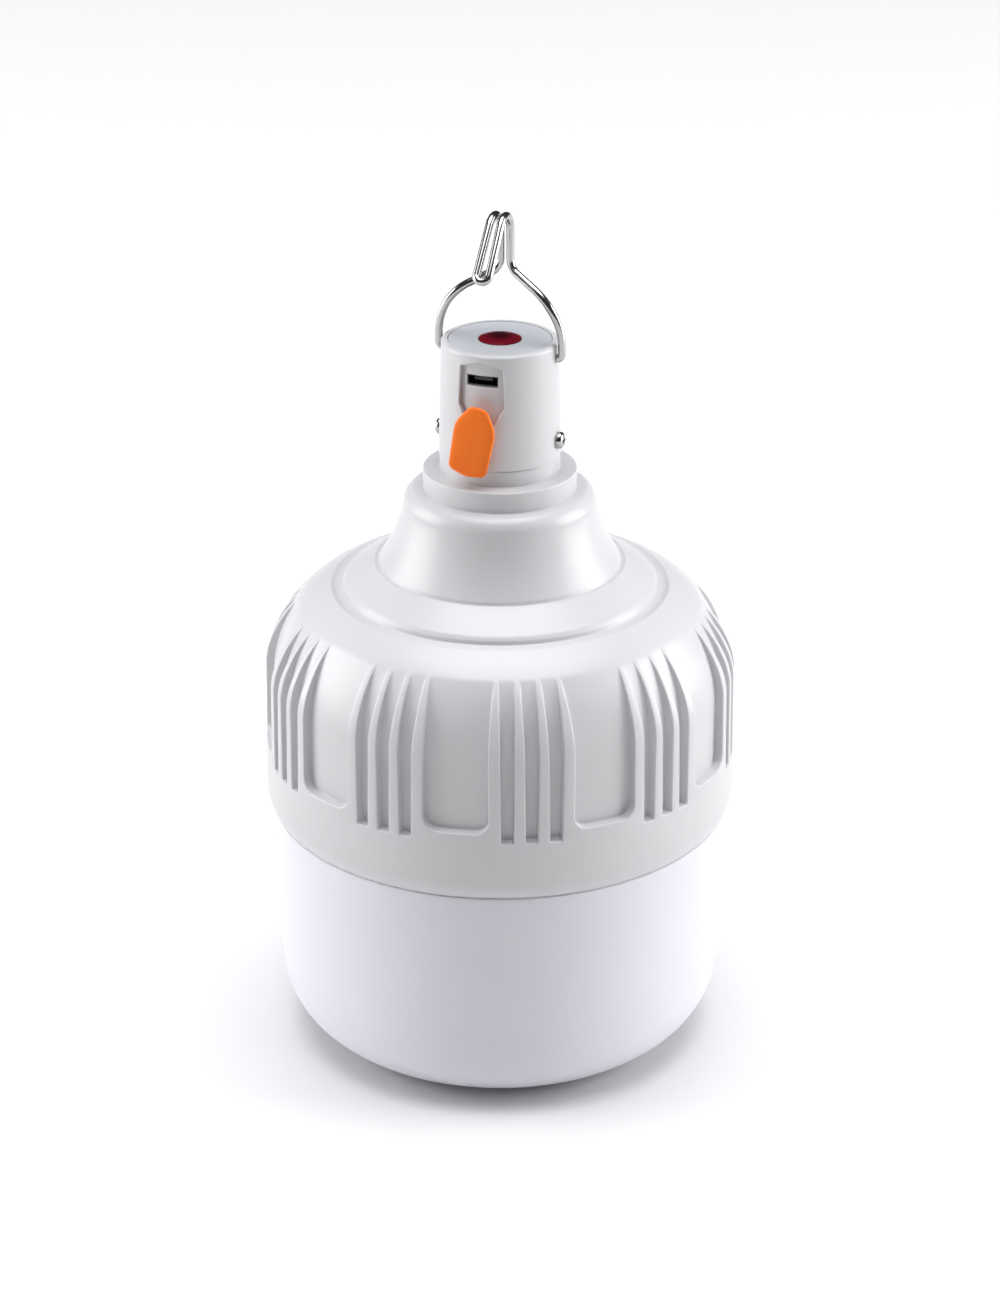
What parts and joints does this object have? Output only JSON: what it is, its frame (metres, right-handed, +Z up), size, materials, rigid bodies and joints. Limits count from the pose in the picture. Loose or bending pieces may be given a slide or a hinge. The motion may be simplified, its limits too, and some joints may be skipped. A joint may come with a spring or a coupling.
{
  "type": "hanging rechargeable emergency lamp",
  "caption": "Wide bulb-shaped rechargeable lamp with milky diffuser, finned housing, wire hanging hook, top push button and charging port with a swivel plug.",
  "frame": {"origin": "centre of the diffuser's flat base, which the lamp stands on", "axes": "+Z up the lamp's axis towards the hook; the charging port faces -Y; the hook turns about X"},
  "size_m": [0.12, 0.12, 0.2193],
  "materials": {
    "white_housing": "cool white moulded plastic, satin gloss",
    "milky_diffuser": "milky translucent bowl, unlit",
    "grey_white_disc": "pale grey plastic, satin",
    "polished_steel": "polished stainless wire",
    "socket_steel": "folded tinned steel",
    "black_plastic": "black plastic",
    "gold_contact": "gold-plated contact",
    "green_board": "green solder mask",
    "clear_led": "small indicator",
    "ferrite": "ferrite",
    "ceramic_chip": "ceramic chip",
    "cell_wrap": "blue shrink wrap",
    "nickel": "nickel strip",
    "zinc_screw": "zinc-plated",
    "plate_aluminium": "plain stamped aluminium",
    "white_board": "white solder mask",
    "yellow_phosphor": "phosphor chip",
    "red_jacket": "wire insulation",
    "black_jacket": "wire insulation",
    "white_jacket": "wire insulation",
    "red_button": "deep red translucent button",
    "orange_rubber": "orange silicone rubber, fine matte grain"
  },
  "bodies": {
    "lamp": {"housing": "white_housing", "diffuser": "milky_diffuser", "cap_shell": "white_housing", "cap_top_disc": "grey_white_disc", "cap_screws": "polished_steel", "usb_shell": "socket_steel", "usb_tongue": "black_plastic", "usb_contacts": "gold_contact", "control_board": "green_board", "tact_switch": "black_plastic", "charge_led": "clear_led", "charge_ic": "black_plastic", "inductor": "ferrite", "capacitors": "ceramic_chip", "battery_cell_front": "cell_wrap", "battery_cell_rear": "cell_wrap", "nickel_strip_left": "nickel", "nickel_strip_right": "nickel", "battery_tray": "black_plastic", "battery_strap": "black_plastic", "tray_screws": "zinc_screw", "led_plate": "plate_aluminium", "led_board": "white_board", "led_emitters": "yellow_phosphor", "plate_screws": "zinc_screw", "battery_lead_positive": "red_jacket", "battery_lead_negative": "black_jacket", "light_lead_positive": "red_jacket", "light_lead_negative": "white_jacket"},
    "button": {"push_button": "red_button", "tact_plunger": "black_plastic"},
    "hook": {"hanging_hook": "polished_steel"},
    "plug": {"port_plug": "orange_rubber"}
  },
  "joints": [
    {"name": "button_press", "type": "slide", "parent": "lamp", "child": "button", "axis": [0, 0, -1], "range_m": [0, 0.0006], "stiffness_N_per_m": 2500, "springref_m": -0.0004},
    {"name": "hook_swing", "type": "hinge", "parent": "lamp", "child": "hook", "pos_m": [0, 0, 0.1835], "axis": [1, 0, 0], "range_deg": [-112, 78]},
    {"name": "plug_swivel", "type": "hinge", "parent": "lamp", "child": "plug", "pos_m": [0, -0.0175, 0.171], "axis": [0, -1, 0], "range_deg": [-170, 190]}
  ]
}
